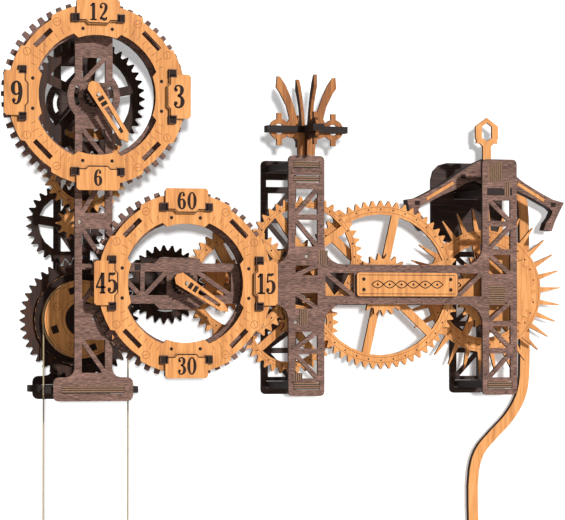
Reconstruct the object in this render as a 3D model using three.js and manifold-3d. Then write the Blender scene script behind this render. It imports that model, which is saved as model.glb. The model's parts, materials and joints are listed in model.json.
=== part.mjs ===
// Wall-hung wooden pendulum clock, cut from 3 mm plywood sheet and slotted together.
// Millimetres. +X right, +Y into the wall, +Z up. The origin lies on the wall face of the
// rear bridge plate, on the centre line of the middle tower.
import * as THREE from "three";
import { mergeVertices } from "three/addons/utils/BufferGeometryUtils.js";
import Module from "manifold-3d";

const wasm = await Module();
wasm.setup();

// ---- driving dimensions -------------------------------------------------------------
const PLY = 3; // sheet thickness
const DEPTH = 88; // wall face of the rear plates to front face of the front plates
const GAP = 0.3; // clearance between pieces that touch
const TOWER_W = 34; // width of each tower
const CHORD = 6.5; // solid edge strip of a tower
const DIAGONAL = 4; // width of a truss diagonal
const ARM_H = 36; // height of the minute arm and of the bridge
const FOOT_W = 72; // width of the hour tower's foot
const FOOT_H = 21;
const TOWER_TOP = 116; // middle and right towers
const WHEEL_GAP = 5.94; // between the rims of the centre and large wheels, which share a plane
const GREAT_ANGLE = 21.467 * Math.PI / 180; // how far below the minute arbor the great arbor is
const MODULE = 2.5; // gear tooth module
const BACKLASH = 0.25; // extra distance between meshing arbors
const TOOTH_PLAY = 0.5; // taken off each tooth's width at the pitch circle
const PRESSURE = 28 * Math.PI / 180; // pressure angle
const ADDENDUM = 0.8; // tooth height above the pitch circle, in modules
const DEDENDUM = 1.1;
const ARBOR_R = 1.5; // 3 mm rods
const ARBOR_HOLE = 1.9; // hole a rod runs in
const HUB_HOLE = ARBOR_R + GAP;
const DIAL_R = 80; // front ring, outer
const DIAL_INNER = 57.5;
const DIAL_PAD = 52.8; // inner radius behind each numeral
const DIAL_FRONT = 14; // face of the front ring ahead of the front plates
const NUMERAL_W = 39;
const NUMERAL_D = 22;
const NUMERAL_R = 84; // outer edge of a numeral plate
const ESCAPE_R = 77; // tips of the escape teeth
const ESCAPE_TEETH = 30;
const PENDULUM_L = 441; // pivot to bob: a 1.33 s beat pair
const ANCHOR_Z = 106;
const ROD_W = 9.5;
const DRUM_R = 33.5; // driving cord's groove
const COUNTER_R = 45; // winding cord's groove
const CORD_D = 1.4;
const CORD_END = -236; // where both cords reach their hooks

const TEETH = {
  great: 42, minute: 27, idler: 27, idlerPinion: 10, third: 30, thirdPinion: 10, hour: 40,
  centre: 40, centrePinion: 18, lower: 36, lowerPinion: 8, upper: 42, upperPinion: 12,
  large: 60, largePinion: 21, escapePinion: 30,
};

// Depth of each working plane: front face of the wheel that runs in it.
const FRONT = -DEPTH;
const PLANE = { upper: -83, large: -76.5, lower: -69, hour: -66, third: -58, escape: -47, great: -34 };

// ---- materials ----------------------------------------------------------------------
const honey = new THREE.MeshStandardMaterial({ color: "#d9924f", roughness: 0.6, metalness: 0 });
const brown = new THREE.MeshStandardMaterial({ color: "#7d6259", roughness: 0.7, metalness: 0 });
const dark = new THREE.MeshStandardMaterial({ color: "#3a2a22", roughness: 0.7, metalness: 0 });
const steel = new THREE.MeshStandardMaterial({ color: "#8a8680", roughness: 0.35, metalness: 1 });
const twine = new THREE.MeshStandardMaterial({ color: "#cdbb95", roughness: 0.9, metalness: 0 });

const clock = new THREE.Group();

// ---- small geometry helpers ---------------------------------------------------------
const add = (name, geometry, material, x = 0, y = 0, z = 0) => {
  const mesh = new THREE.Mesh(geometry, material);
  mesh.name = name;
  mesh.position.set(x, y, z);
  clock.add(mesh);
  return mesh;
};
// Outlines run anticlockwise and holes clockwise, whichever way their points are listed.
const vectors = (points, clockwise) => {
  const list = points.map(([x, z]) => new THREE.Vector2(x, z));
  return THREE.ShapeUtils.isClockWise(list) === clockwise ? list : list.reverse();
};
const polygon = (points) => new THREE.Shape(vectors(points, false));
const hole = (points) => new THREE.Path(vectors(points, true));
const circle = (x, z, r) => new THREE.Path().absarc(x, z, r, 0, 2 * Math.PI, true);
const box = (x0, x1, z0, z1) => [[x0, z0], [x1, z0], [x1, z1], [x0, z1]];
const arc = (cx, cz, r, from, to, steps) => Array.from({ length: steps + 1 }, (_, i) => {
  const a = from + (to - from) * i / steps;
  return [cx + r * Math.cos(a), cz + r * Math.sin(a)];
});
const mirror = (points) => points.map(([x, z]) => [-x, z]);
const turn = ([x, z], a) => [x * Math.cos(a) - z * Math.sin(a), x * Math.sin(a) + z * Math.cos(a)];
const roundedBox = (x0, x1, z0, z1, r) => [
  ...arc(x0 + r, z0 + r, r, -Math.PI, -Math.PI / 2, 3), ...arc(x1 - r, z0 + r, r, -Math.PI / 2, 0, 3),
  ...arc(x1 - r, z1 - r, r, 0, Math.PI / 2, 3), ...arc(x0 + r, z1 - r, r, Math.PI / 2, Math.PI, 3),
];
// A rod along Y from y0 to y1.
const rod = (r, y0, y1, sides = 10) =>
  new THREE.CylinderGeometry(r, r, y1 - y0, sides).translate(0, (y0 + y1) / 2, 0);

const toSolid = (geometry) => {
  const g = geometry.clone();
  g.deleteAttribute("normal");
  g.deleteAttribute("uv");
  const m = mergeVertices(g, 1e-4);
  return new wasm.Manifold(new wasm.Mesh({
    numProp: 3, vertProperties: new Float32Array(m.attributes.position.array),
    triVerts: new Uint32Array(m.index.array),
  }));
};
const fromSolid = (solid) => {
  const mesh = solid.getMesh();
  const g = new THREE.BufferGeometry();
  g.setAttribute("position", new THREE.BufferAttribute(mesh.vertProperties, 3));
  g.setIndex(new THREE.BufferAttribute(mesh.triVerts, 1));
  return g;
};
const join = (...parts) => fromSolid(parts.map(toSolid).reduce((a, b) => a.add(b)));
const cut = (body, ...tools) => fromSolid(tools.map(toSolid).reduce((a, b) => a.subtract(b), toSolid(body)));
// A flat shape drawn in X and Z becomes a board whose front face is at y = 0. Each hole is
// cut right through by a prism that stands proud of both faces.
const extrude = (shape, depth, curveSegments) =>
  new THREE.ExtrudeGeometry(shape, { depth, bevelEnabled: false, curveSegments });
const board = (shape, thickness = PLY, curveSegments = 6) => {
  const outline = new THREE.Shape(shape.getPoints(curveSegments));
  const prisms = shape.holes.map((h) =>
    extrude(new THREE.Shape(vectors(h.getPoints(curveSegments).map((p) => [p.x, p.y]), false)),
      thickness + 2).translate(0, 0, -1));
  const sheet = extrude(outline, thickness);
  const solid = prisms.length ? cut(sheet, ...prisms) : sheet;
  return solid.rotateX(Math.PI / 2).translate(0, thickness, 0);
};

// ---- gears --------------------------------------------------------------------------
const pitchR = (teeth) => MODULE * teeth / 2;
const tipR = (teeth) => pitchR(teeth) + ADDENDUM * MODULE;
const involute = (a) => Math.tan(a) - a;
// Half the angle that a tooth fills at radius r; flanks are straight between its corners.
const halfTooth = (teeth, r) => {
  const rp = pitchR(teeth);
  const atPitch = (Math.PI * MODULE / 2 - TOOTH_PLAY) / (2 * rp);
  const base = rp * Math.cos(PRESSURE);
  const a = Math.acos(Math.min(1, base / Math.max(r, base)));
  return atPitch + involute(PRESSURE) - involute(a);
};
// Outline of a gear with one tooth centred on the angle phase.
const gearOutline = (teeth, phase) => {
  const tip = tipR(teeth);
  const root = pitchR(teeth) - DEDENDUM * MODULE;
  const low = Math.max(root, pitchR(teeth) * Math.cos(PRESSURE));
  const [wide, narrow] = [halfTooth(teeth, low), halfTooth(teeth, tip)];
  const points = [];
  for (let i = 0; i < teeth; i++) {
    const a = phase + 2 * Math.PI * i / teeth;
    for (const [r, t] of [[root, -wide], [tip, -narrow], [tip, narrow], [root, wide]]) {
      points.push([r * Math.cos(a + t), r * Math.sin(a + t)]);
    }
  }
  return points;
};
// Distance between two meshing arbors.
const mesh = (a, b) => pitchR(a) + pitchR(b) + BACKLASH;
// Phase of a driven gear, so that one of its gaps faces a tooth of its driver.
const drivenPhase = (from, fromTeeth, fromPhase, to, toTeeth) => {
  const line = Math.atan2(to[1] - from[1], to[0] - from[0]);
  const past = (line - fromPhase) * fromTeeth / (2 * Math.PI);
  return line + Math.PI - (0.5 - past) * 2 * Math.PI / toTeeth;
};

// ---- arbor positions, each worked out from its neighbours ---------------------------
const above = (x0, z0, x1, reach) => [x1, z0 + Math.sqrt(reach ** 2 - (x1 - x0) ** 2)];
const IDLER_OFFSET = -13; // the idler stands this far left of the hour tower's centre line
const UPPER_RISE = 25; // upper arbor above the centre arbor
const ESCAPE_DROP = -5; // escape arbor below the bridge's centre line

const upper = [0, UPPER_RISE];
const largeReach = mesh(TEETH.upper, TEETH.largePinion);
const large = [upper[0] + Math.sqrt(largeReach ** 2 - UPPER_RISE ** 2), upper[1] - UPPER_RISE];
const centre = [large[0] - tipR(TEETH.large) - tipR(TEETH.centre) - WHEEL_GAP, 0];
const minute = [centre[0] - mesh(TEETH.minute, TEETH.centrePinion), centre[1]];
const greatReach = mesh(TEETH.great, TEETH.minute);
const great = [minute[0] - greatReach * Math.cos(GREAT_ANGLE), -greatReach * Math.sin(GREAT_ANGLE)];
const HOUR_TOWER_X = great[0]; // the hour tower stands on the great arbor
const idler = above(...great, HOUR_TOWER_X + IDLER_OFFSET, mesh(TEETH.great, TEETH.idler));
const third = above(...idler, HOUR_TOWER_X, mesh(TEETH.idlerPinion, TEETH.third));
const hour = above(...third, HOUR_TOWER_X, mesh(TEETH.thirdPinion, TEETH.hour));
const lower = (() => {
  // Corner of the triangle that stands on the line from the centre to the upper arbor.
  const [dx, dz] = [upper[0] - centre[0], upper[1] - centre[1]];
  const span = Math.hypot(dx, dz);
  const c = mesh(TEETH.centre, TEETH.lowerPinion);
  const u = mesh(TEETH.lower, TEETH.upperPinion);
  const along = (span ** 2 + c ** 2 - u ** 2) / (2 * span);
  const side = Math.sqrt(c ** 2 - along ** 2);
  return [centre[0] + (dx * along + dz * side) / span, centre[1] + (dz * along - dx * side) / span];
})();
const escapeReach = mesh(TEETH.large, TEETH.escapePinion);
const escape = [large[0] + Math.sqrt(escapeReach ** 2 - (ESCAPE_DROP - large[1]) ** 2), ESCAPE_DROP];
const anchorPivot = [escape[0], ANCHOR_Z];

// ---- where the towers end, each just past the wheel that it carries ------------------
const TOWER_BOTTOM = lower[1] - tipR(TEETH.lower) - 19.67; // room for a cross piece
const TOWER_PITCH = escape[0] - 0.58; // middle tower to right tower, which holds the escape arbor
const HOUR_TOWER_TOP = hour[1] + tipR(TEETH.hour) + 11.85; // room for a cross piece
const HOUR_TOWER_FOOT = great[1] - tipR(TEETH.great) + 3.15; // where the tower meets its foot

// ---- phases, from the minute wheel outwards -----------------------------------------
const phase = { minute: 0 };
phase.great = drivenPhase(minute, TEETH.minute, phase.minute, great, TEETH.great);
phase.idler = drivenPhase(great, TEETH.great, phase.great, idler, TEETH.idler);
phase.third = drivenPhase(idler, TEETH.idlerPinion, 0, third, TEETH.third);
phase.hour = drivenPhase(third, TEETH.thirdPinion, 0, hour, TEETH.hour);
phase.centrePinion = drivenPhase(minute, TEETH.minute, phase.minute, centre, TEETH.centrePinion);
phase.lowerPinion = drivenPhase(centre, TEETH.centre, 0, lower, TEETH.lowerPinion);
phase.upperPinion = drivenPhase(lower, TEETH.lower, 0, upper, TEETH.upperPinion);
phase.largePinion = drivenPhase(upper, TEETH.upper, 0, large, TEETH.largePinion);
phase.escapePinion = drivenPhase(large, TEETH.large, 0, escape, TEETH.escapePinion);

// ---- wheels -------------------------------------------------------------------------
const HUB_R = 9; // solid middle of a spoked wheel
// Openings between count spokes, from radius r0 to r1, with spokes of the given width.
const windows = (count, r0, r1, width, start, steps = 5) => Array.from({ length: count }, (_, i) => {
  const from = start + 2 * Math.PI * i / count;
  const to = from + 2 * Math.PI / count;
  const [outer, inner] = [Math.asin(width / 2 / r1), Math.asin(Math.min(0.95, width / 2 / r0))];
  return hole([
    ...arc(0, 0, r1, from + outer, to - outer, steps),
    ...arc(0, 0, r0, to - inner, from + inner, Math.max(1, Math.round(steps / 2))),
  ]);
});
const wheel = (name, at, y, teeth, start, material, openings = [], thickness = PLY) => {
  const shape = polygon(gearOutline(teeth, start));
  shape.holes.push(circle(0, 0, HUB_HOLE), ...openings);
  add(name, board(shape, thickness), material, at[0], y, at[1]);
};
const spoked = (teeth, rim, count, width, start) => {
  const r1 = pitchR(teeth) - DEDENDUM * MODULE - rim;
  return windows(count, HUB_R, r1, width, start);
};
wheel("great_wheel", great, PLANE.great, TEETH.great, phase.great, dark,
  windows(8, 40, 43, 12, 0.2, 3));
wheel("minute_wheel", minute, PLANE.great, TEETH.minute, phase.minute, dark,
  spoked(TEETH.minute, 6, 4, 7, 0.4));
wheel("idler_wheel", idler, PLANE.great, TEETH.idler, phase.idler, dark,
  spoked(TEETH.idler, 6, 3, 8, 0.9));
wheel("third_wheel", third, PLANE.third, TEETH.third, phase.third, honey,
  spoked(TEETH.third, 6, 4, 7, 0.3));
wheel("hour_wheel", hour, PLANE.hour, TEETH.hour, phase.hour, dark,
  spoked(TEETH.hour, 8, 5, 8, 0.2));
wheel("centre_wheel", centre, PLANE.large, TEETH.centre, 0, honey,
  spoked(TEETH.centre, 8, 4, 9, 0.5));
wheel("lower_wheel", lower, PLANE.lower, TEETH.lower, 0, honey,
  spoked(TEETH.lower, 6, 4, 7, 0.7));
wheel("upper_wheel", upper, PLANE.upper, TEETH.upper, 0, honey,
  spoked(TEETH.upper, 5, 4, 7, 0.6));
wheel("large_wheel", large, PLANE.large, TEETH.large, 0, honey,
  spoked(TEETH.large, 8, 6, 7.5, 0.3));

// The escape wheel's teeth are slim blades that lean a little, with a wide gap between them.
const ESCAPE_ROOT = 57;
const ESCAPE_PHASE = 0.028;
const escapeShape = polygon(Array.from({ length: ESCAPE_TEETH }, (_, i) => {
  const a = ESCAPE_PHASE + 2 * Math.PI * i / ESCAPE_TEETH;
  return [[ESCAPE_ROOT, -0.042], [ESCAPE_R, 0.01], [ESCAPE_R, 0.022], [ESCAPE_ROOT, 0.042]]
    .map(([r, t]) => turn([r, 0], a + t));
}).flat());
escapeShape.holes.push(circle(0, 0, HUB_HOLE), ...windows(5, HUB_R, 44, 7, 0.5));
add("escape_wheel", board(escapeShape), honey, escape[0], PLANE.escape, escape[1]);

// ---- arbors: a rod with the pinion that is fixed on it ------------------------------
const PINION_T = PLY + 1; // a pinion is a little thicker than its wheel
const HUB_TEETH = 16; // knurls of the hub behind a hand
const HUB_TIP = 9.8;
const HUB_ROOT = 8.4;
const handHub = (y0, y1) => board(polygon(Array.from({ length: HUB_TEETH }, (_, i) =>
  [[HUB_ROOT, -0.13], [HUB_TIP, -0.08], [HUB_TIP, 0.08], [HUB_ROOT, 0.13]]
    .map(([r, t]) => turn([r, 0], 2 * Math.PI * i / HUB_TEETH + t))).flat()), y1 - y0).translate(0, y0, 0);
const arbor = (name, at, y0, y1, pinion, hub) => {
  let geometry = rod(ARBOR_R, y0, y1);
  if (hub) geometry = join(geometry, handHub(...hub));
  if (pinion) {
    const [teeth, start, y] = pinion;
    const pinionGear = board(polygon(gearOutline(teeth, start)), PINION_T);
    geometry = join(geometry, pinionGear.translate(0, y - 0.5, 0));
  }
  add(name, geometry, pinion ? honey : steel, at[0], 0, at[1]);
};
const ROD_FRONT = FRONT + 0.5;
const HAND_BACK = FRONT - DIAL_FRONT - 0.5;
arbor("great_arbor", great, ROD_FRONT, -0.5);
const HAND_HUB = [HAND_BACK + GAP, FRONT - GAP]; // from the hand back to the front plate
arbor("minute_arbor", minute, HAND_BACK - PLY - 1.5, -0.5, null, HAND_HUB);
arbor("idler_arbor", idler, ROD_FRONT, -0.5, [TEETH.idlerPinion, 0, PLANE.third]);
arbor("third_arbor", third, ROD_FRONT, -0.5, [TEETH.thirdPinion, 0, PLANE.hour]);
arbor("hour_arbor", hour, HAND_BACK - PLY - 1.5, -0.5, null, HAND_HUB);
arbor("centre_arbor", centre, ROD_FRONT, -0.5, [TEETH.centrePinion, phase.centrePinion, PLANE.great]);
arbor("lower_arbor", lower, ROD_FRONT, -0.5, [TEETH.lowerPinion, phase.lowerPinion, PLANE.large]);
arbor("upper_arbor", upper, ROD_FRONT, -0.5, [TEETH.upperPinion, phase.upperPinion, PLANE.lower]);
arbor("large_arbor", large, ROD_FRONT, -0.5, [TEETH.largePinion, phase.largePinion, PLANE.upper]);
arbor("escape_arbor", escape, ROD_FRONT, -0.5, [TEETH.escapePinion, phase.escapePinion, PLANE.large]);

// ---- driving drum and winding drum on the great arbor -------------------------------
// A profile of radius and height, turned about Y; a closed ring repeats its first point.
const spun = (profile, sides = 32) => new THREE.LatheGeometry(vectors(profile, false), sides);
const DRUM_BACK = PLANE.great - GAP;
const DRUM_FRONT = DRUM_BACK - 4 * PLY;
add("drum", spun([[HUB_HOLE, DRUM_BACK], [42, DRUM_BACK], [42, DRUM_BACK - PLY], [DRUM_R, DRUM_BACK - PLY],
  [DRUM_R, DRUM_FRONT + PLY], [DRUM_R + 1.5, DRUM_FRONT + PLY], [DRUM_R + 1.5, DRUM_FRONT],
  [16, DRUM_FRONT], [16, DRUM_FRONT + 2 * PLY], [HUB_HOLE, DRUM_FRONT + 2 * PLY],
  [HUB_HOLE, DRUM_BACK]]), honey, great[0], 0, great[1]);
const COUNTER_FRONT = PLANE.great + PLY + GAP;
add("winding_drum", spun([[HUB_HOLE, COUNTER_FRONT], [COUNTER_R, COUNTER_FRONT],
  [COUNTER_R, COUNTER_FRONT + PLY], [COUNTER_R + 3, COUNTER_FRONT + PLY],
  [COUNTER_R + 3, COUNTER_FRONT + 2 * PLY], [HUB_HOLE, COUNTER_FRONT + 2 * PLY],
  [HUB_HOLE, COUNTER_FRONT]]), dark, great[0], 0, great[1]);

// ---- frame plates -------------------------------------------------------------------
const HALF = TOWER_W / 2;
// Two triangles that leave a diagonal bar across a cell; flip chooses the way it leans.
const cell = (x0, x1, z0, z1, flip) => {
  const [w, h] = [x1 - x0, z1 - z0];
  const slant = Math.hypot(w, h);
  const [ex, ez] = [DIAGONAL * slant / h / 2, DIAGONAL * slant / w / 2];
  const pair = [[[0, ez], [0, h], [w - ex, h]], [[ex, 0], [w, 0], [w, h - ez]]];
  return pair.map((tri) => hole(tri.map(([x, z]) => [flip ? x1 - x : x0 + x, z0 + z])));
};
// Truss cells along an arm between x0 and x1.
const armCells = (x0, x1, count, z0, z1) => Array.from({ length: count }, (_, i) => {
  const w = (x1 - x0) / count;
  return cell(x0 + w * i + 2, x0 + w * (i + 1) - 2, z0, z1, i % 2 === 0);
}).flat();
const slot = (x, z, w, h) => hole(box(x - w / 2 - GAP, x + w / 2 + GAP, z - h / 2 - GAP, z + h / 2 + GAP));
const holesFor = (arbors) => arbors.map(([x, z]) => circle(x, z, ARBOR_HOLE));

const ARM_CHORD = 7.5;
const JOINT_X = -44; // where the minute arm meets the bridge plate's stub, behind the dial

// Cross pieces: [name, x, z, tenon width, tenon height, body width]
const SPACERS = [
  ["spacer_hour_top", HOUR_TOWER_X, HOUR_TOWER_TOP - 6, 20, 6, 20],
  ["spacer_hour_foot", HOUR_TOWER_X, HOUR_TOWER_FOOT - 11, 56, 6, 83],
  ["spacer_middle_top", 0, TOWER_TOP - 8, 24, 6, 24],
  ["spacer_middle_foot", 0, TOWER_BOTTOM + 9, 24, 6, 24],
  ["spacer_right_top", TOWER_PITCH, TOWER_TOP - 30, 24, 6, 24],
  ["spacer_right_foot", TOWER_PITCH, TOWER_BOTTOM + 9, 24, 6, 24],
  ["spacer_arm", minute[0] - tipR(TEETH.minute) - 4.75, ARM_H / 2 - 3.8, 5, 5, 5],
];
const EAR = 12;
const spacerSlots = (names) => SPACERS.filter(([n]) => names.includes(n))
  .map(([, x, z, w, h]) => slot(x, z, w, h));
for (const [name, x, z, w, h, body] of SPACERS) {
  const [front, back] = [FRONT, 0];
  const [inFront, inBack] = [FRONT + PLY + GAP, -PLY - GAP];
  // A wide body has ears just inside each plate, so that the cords pass between them.
  const side = body === w ? [[w / 2, front], [w / 2, back]] : [
    [w / 2, front], [w / 2, inFront], [body / 2, inFront], [body / 2, inFront + EAR],
    [w / 2, inFront + EAR], [w / 2, inBack - EAR], [body / 2, inBack - EAR], [body / 2, inBack],
    [w / 2, inBack], [w / 2, back]];
  const outline = [...side, ...side.map(([sx, sy]) => [-sx, sy]).reverse()];
  const g = new THREE.ExtrudeGeometry(polygon(outline), { depth: h, bevelEnabled: false });
  add(name, g, brown, x, 0, z - h / 2);
}

// Hour tower: a tall truss with a round boss at the hour arbor and a wide foot.
const hourTower = () => {
  const x = HOUR_TOWER_X;
  const bossR = 24;
  const lean = Math.asin(HALF / bossR);
  const footR = 5;
  const neck = 8;
  const footLow = HOUR_TOWER_FOOT - FOOT_H;
  const right = [
    ...arc(x + FOOT_W / 2 - footR, footLow + footR, footR, -Math.PI / 2, 0, 3),
    ...arc(x + FOOT_W / 2 - footR, HOUR_TOWER_FOOT - footR, footR, 0, Math.PI / 2, 3),
    ...arc(x + HALF + neck, HOUR_TOWER_FOOT + neck, neck, 1.5 * Math.PI, Math.PI, 3),
    ...arc(x, hour[1], bossR, -Math.PI / 2 + lean, Math.PI / 2 - lean, 8),
    ...arc(x + HALF - 4, HOUR_TOWER_TOP - 4, 4, 0, Math.PI / 2, 3),
  ];
  const left = right.map(([px, pz]) => [2 * x - px, pz]).reverse();
  const shape = polygon([...right, ...left]);
  // Truss cells, with solid blocks left where the arbors run.
  const spans = [[HOUR_TOWER_FOOT + 4, great[1] - 18.35], [great[1] + 13, 12], [17, idler[1] - 6],
    [idler[1] + 8, third[1] - 7], [third[1] + 8, hour[1] - 29], [hour[1] + 12, HOUR_TOWER_TOP - 30]];
  shape.holes.push(...spans.flatMap(([from, to], i) =>
    cell(x - HALF + CHORD, x + HALF - CHORD, from, to, i % 2 === 0)));
  for (const side of [0, Math.PI]) { // crescents in the boss, left and right of the hour arbor
    shape.holes.push(hole([...arc(...hour, 18, side - 0.55, side + 0.55, 6),
      ...arc(...hour, 14, side + 0.5, side - 0.5, 5)]));
  }
  shape.holes.push(...holesFor([great, idler, third, hour]));
  shape.holes.push(...spacerSlots(["spacer_hour_top", "spacer_hour_foot"]));
  return shape;
};
add("hour_tower_front", board(hourTower()), brown, 0, FRONT, 0);
add("hour_tower_rear", board(hourTower()), brown, 0, -PLY, 0);

// Minute arm: joins the hour tower to the bridge and swells round the minute arbor.
const minuteArm = () => {
  const [x0, x1] = [HOUR_TOWER_X + HALF + GAP, JOINT_X - GAP / 2];
  const [h, swell, s0, s1] = [ARM_H / 2, 23, minute[0] - 20, minute[0] + 14];
  const shape = polygon([[x0, -h], [s0 - 5, -h], [s0, -swell], [s1, -swell], [s1 + 5, -h], [x1, -h],
    [x1, h], [s1 + 5, h], [s1, swell], [s0, swell], [s0 - 5, h], [x0, h]]);
  const inner = h - ARM_CHORD;
  shape.holes.push(...armCells(x0 + 3, minute[0] - 12, 2, -inner, inner));
  shape.holes.push(...armCells(minute[0] + 12, centre[0] - 9, 1, -inner, inner));
  shape.holes.push(...holesFor([minute, centre]), ...spacerSlots(["spacer_arm"]));
  return shape;
};
add("minute_arm_front", board(minuteArm()), brown, 0, FRONT, 0);
add("minute_arm_rear", board(minuteArm()), brown, 0, -PLY, 0);

// Bridge plate: the middle and right towers with the bridge between them, in one sheet.
const FILLET = 18;
const STUB_FILLET = 14;
const CORNER = 4;
const bridgePlate = () => {
  const [h, r, c, s] = [ARM_H / 2, FILLET, CORNER, STUB_FILLET];
  const [mx, rx] = [HALF, TOWER_PITCH];
  const shape = polygon([
    ...arc(-mx + c, TOWER_BOTTOM + c, c, -Math.PI, -Math.PI / 2, 3),
    ...arc(mx - c, TOWER_BOTTOM + c, c, -Math.PI / 2, 0, 3),
    ...arc(mx + r, -h - r, r, Math.PI, Math.PI / 2, 5),
    ...arc(rx - HALF - r, -h - r, r, Math.PI / 2, 0, 5),
    ...arc(rx - HALF + c, TOWER_BOTTOM + c, c, -Math.PI, -Math.PI / 2, 3),
    ...arc(rx + HALF - c, TOWER_BOTTOM + c, c, -Math.PI / 2, 0, 3),
    ...arc(rx + HALF - c, TOWER_TOP - c, c, 0, Math.PI / 2, 3),
    ...arc(rx - HALF + c, TOWER_TOP - c, c, Math.PI / 2, Math.PI, 3),
    ...arc(rx - HALF - r, h + r, r, 0, -Math.PI / 2, 5),
    ...arc(mx + r, h + r, r, -Math.PI / 2, -Math.PI, 5),
    ...arc(mx - c, TOWER_TOP - c, c, 0, Math.PI / 2, 3),
    ...arc(-mx + c, TOWER_TOP - c, c, Math.PI / 2, Math.PI, 3),
    ...arc(-mx - s, h + s, s, 0, -Math.PI / 2, 4), [JOINT_X, h],
    [JOINT_X, -h], ...arc(-mx - s, -h - s, s, Math.PI / 2, 0, 4),
  ]);
  const [l, w] = [-HALF + CHORD, HALF - CHORD];
  const middleCells = [[-85, -63, true], [-58, -43, false], [-22, -8, true], [8, 17, false],
    [34, 58, true], [63, 86, false]];
  const rightCells = [[-85, -63, false], [-58, -38, true], [-33, -16, false], [10, 28, true],
    [33, 54, false], [59, 78, true]];
  shape.holes.push(...middleCells.flatMap(([a, b, f]) => cell(l, w, a, b, f)));
  shape.holes.push(...rightCells.flatMap(([a, b, f]) => cell(rx + l, rx + w, a, b, f)));
  const inner = h - ARM_CHORD;
  shape.holes.push(...cell(mx + 1, mx + 28, -inner, inner, true));
  shape.holes.push(...cell(rx - HALF - 24, rx - HALF - 1, -inner, inner, false));
  shape.holes.push(slot(0, TOWER_TOP - 21, 24, 6));
  shape.holes.push(...holesFor([lower, upper, large, escape, anchorPivot]));
  shape.holes.push(...spacerSlots(["spacer_middle_top", "spacer_middle_foot", "spacer_right_top",
    "spacer_right_foot"]));
  return shape;
};
add("bridge_front", board(bridgePlate()), brown, 0, FRONT, 0);
// The rear plate swells round the pendulum's pivot.
const rearBoss = () => {
  const shape = polygon(roundedBox(TOWER_PITCH - 36, TOWER_PITCH + 36, 42, TOWER_TOP + 1, 16));
  shape.holes.push(...holesFor([anchorPivot]), ...spacerSlots(["spacer_right_top"]));
  return shape;
};
add("bridge_rear", join(board(bridgePlate()), board(rearBoss())), brown, 0, -PLY, 0);

const PLATE_X = [HALF + 30, TOWER_PITCH - HALF - 26];
const PLATE_H = 21.5;
add("name_plate", board(polygon(roundedBox(...PLATE_X, -PLATE_H / 2, PLATE_H / 2, 2.5))), honey,
  0, FRONT - PLY - GAP, 0);

// ---- dials --------------------------------------------------------------------------
const LUG = 7; // square stand-off that carries the front ring
const LUG_R = 67.5;
const LUG_OFFSET = 20.5;
const PAD_HALF = 19 * Math.PI / 180;
const RIM_HALF = 31 * Math.PI / 180; // the rim steps in between these, beside each slot
const QUARTERS = [0, 1, 2, 3].map((i) => i * Math.PI / 2);
const lugSquares = (size) => QUARTERS.flatMap((q) => [-LUG_OFFSET, LUG_OFFSET].map((t) =>
  box(LUG_R - size / 2, LUG_R + size / 2, t - size / 2, t + size / 2).map((p) => turn(p, q))));
const dialFront = () => {
  const shape = polygon(QUARTERS.flatMap((q) => [
    ...arc(0, 0, DIAL_R, q - RIM_HALF, q + RIM_HALF, 9),
    ...arc(0, 0, DIAL_R - 3, q + RIM_HALF + 0.03, q + Math.PI / 2 - RIM_HALF - 0.03, 5)]));
  const inner = QUARTERS.flatMap((q) => [
    ...arc(0, 0, DIAL_PAD, q - PAD_HALF, q + PAD_HALF, 5),
    ...arc(0, 0, DIAL_INNER, q + PAD_HALF + 0.05, q + Math.PI / 2 - PAD_HALF - 0.05, 7)]);
  const slots = QUARTERS.map((q) => box(69 - 2.2, 69 + 2.2, -10.5, 10.5)
    .map((p) => turn(p, q + Math.PI / 4)));
  shape.holes.push(hole(inner), ...lugSquares(LUG + 2 * GAP).map(hole), ...slots.map(hole));
  return shape;
};
const REAR_OUTER = 83.5; // tips of the back ring's ornamental teeth
const REAR_ROOT = 78;
const REAR_TEETH = 54;
const REAR_INNER = 54.5;
const dialRear = (ringY, lugFront) => {
  const shape = polygon(Array.from({ length: REAR_TEETH }, (_, i) =>
    [[REAR_ROOT, -0.034], [REAR_OUTER, -0.024], [REAR_OUTER, 0.024], [REAR_ROOT, 0.034]]
      .map(([r, t]) => turn([r, 0], 2 * Math.PI * i / REAR_TEETH + t))).flat());
  shape.holes.push(hole(arc(0, 0, REAR_INNER, 0, 2 * Math.PI, 40).slice(0, -1)));
  const lugs = lugSquares(LUG).map((p) => board(polygon(p), ringY + 1 - lugFront).translate(0, lugFront, 0));
  return join(board(shape).translate(0, ringY, 0), ...lugs);
};
const numeralPlate = (q) => {
  const [r0, r1, t] = [NUMERAL_R - NUMERAL_D, NUMERAL_R, NUMERAL_W / 2];
  const step = r0 + 2.6;
  const [notch, inset] = [LUG_R + LUG / 2 + GAP, LUG_OFFSET - LUG / 2 - GAP];
  const half = [[r0, 9], [step, 11.5], [step, inset], [notch, inset], [notch, t], [r1 - 2, t], [r1, t - 2]];
  const whole = [...half, ...half.map(([r, s]) => [r, -s]).reverse()];
  return board(polygon(whole.map((p) => turn(p, q))));
};
const RING_Y = FRONT - PLY - GAP;
const FACE_Y = FRONT - DIAL_FRONT;
const NUMERAL_Y = FACE_Y - PLY - GAP;
for (const [dial, at, marks] of [["hour", hour, [3, 12, 9, 6]], ["minute", minute, [15, 60, 45, 30]]]) {
  add(`${dial}_dial_ring`, board(dialFront()), honey, at[0], FACE_Y, at[1]);
  add(`${dial}_dial_back`, dialRear(RING_Y, NUMERAL_Y), brown, at[0], 0, at[1]);
  marks.forEach((mark, i) => {
    add(`${dial}_numeral_${mark}`, numeralPlate(QUARTERS[i]), honey, at[0], NUMERAL_Y, at[1]);
  });
}

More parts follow.
